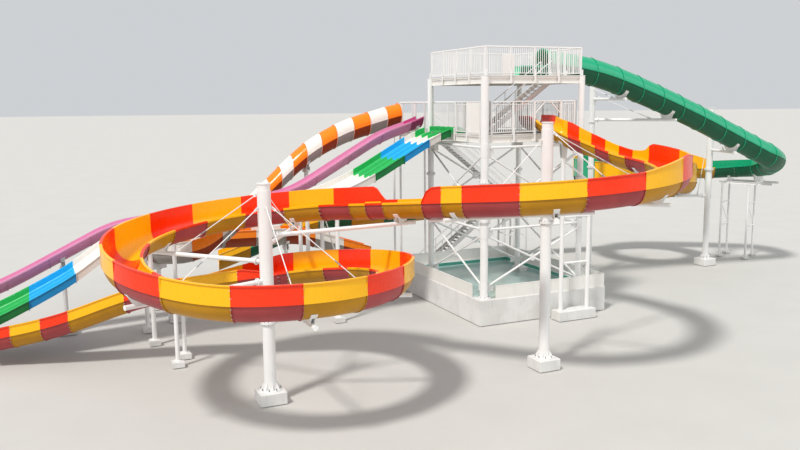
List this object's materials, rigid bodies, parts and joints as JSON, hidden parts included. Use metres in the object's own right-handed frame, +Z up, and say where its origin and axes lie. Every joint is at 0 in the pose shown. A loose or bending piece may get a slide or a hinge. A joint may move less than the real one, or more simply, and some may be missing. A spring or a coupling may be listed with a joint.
{
  "type": "water slide tower, half-size scale model",
  "caption": "Open steel tower with two decks that feeds curving and straight coloured fibreglass slides and tubes held on masts, at half the real size.",
  "frame": {"origin": "on the flat underside of the basin slab, under the middle of the tower's four columns", "axes": "+X towards the closed tube's side of the tower, along the straight racing slide's line; +Y towards the back, away from the red and yellow slide; +Z up"},
  "size_m": [28.7626, 15.3888, 7.2169],
  "materials": {
    "yellow_fibreglass": "glossy gel coat, bolted flanges",
    "red_fibreglass": "glossy gel coat, bolted flanges",
    "green_fibreglass": "glossy gel coat, bolted flanges",
    "orange_fibreglass": "glossy gel coat in bands with white",
    "blue_fibreglass": "glossy gel coat in bands with green and white",
    "pink_fibreglass": "glossy gel coat",
    "concrete": "painted concrete, slightly stained",
    "cream_boards": "cream painted cladding and deck edge",
    "white_steel": "white painted steel, satin"
  },
  "bodies": {
    "root": {"back_column": "white_steel", "back_stair": "white_steel", "basin_floor": "concrete", "basin_panel": "cream_boards", "basin_wall": "concrete", "entry_frame": "white_steel", "front_column": "white_steel", "green_bend": "green_fibreglass", "green_bend_frame": "white_steel", "green_post_1": "white_steel", "green_post_2": "white_steel", "green_start_tub": "green_fibreglass", "green_tube": "green_fibreglass", "helix_mast": "white_steel", "helix_mast_arms": "white_steel", "helix_mast_footing": "concrete", "left_column": "white_steel", "loop_mast": "white_steel", "loop_mast_arms": "white_steel", "loop_mast_footing": "concrete", "lower_bracing": "white_steel", "mid_deck": "cream_boards", "mid_rail_back": "white_steel", "mid_rail_front": "white_steel", "mid_rail_right": "white_steel", "orange_white_exit": "orange_fibreglass", "orange_white_loop": "orange_fibreglass", "orange_white_post_1": "white_steel", "orange_white_post_2": "white_steel", "orange_white_post_3": "white_steel", "orange_white_tube": "orange_fibreglass", "pink_post_1": "white_steel", "pink_post_2": "white_steel", "pink_post_3": "white_steel", "pink_slide": "pink_fibreglass", "racer_frame_1": "white_steel", "racer_frame_2": "white_steel", "racer_frame_3": "white_steel", "racer_lower": "blue_fibreglass", "racer_upper": "blue_fibreglass", "red_yellow_entry": "yellow_fibreglass", "red_yellow_exit": "yellow_fibreglass", "red_yellow_frame": "white_steel", "red_yellow_helix_lower": "yellow_fibreglass", "red_yellow_helix_upper": "red_fibreglass", "red_yellow_loop": "red_fibreglass", "red_yellow_run": "yellow_fibreglass", "right_column": "white_steel", "top_deck": "cream_boards", "top_rail": "white_steel", "tube_mast": "white_steel", "tube_mast_arms": "white_steel", "tube_mast_footing": "concrete", "turn_mast": "white_steel", "turn_mast_arms": "white_steel", "turn_mast_footing": "concrete", "upper_bracing": "white_steel", "upper_stair": "white_steel", "yellow_green_exit": "green_fibreglass", "yellow_green_loop": "yellow_fibreglass"}
  },
  "joints": []
}
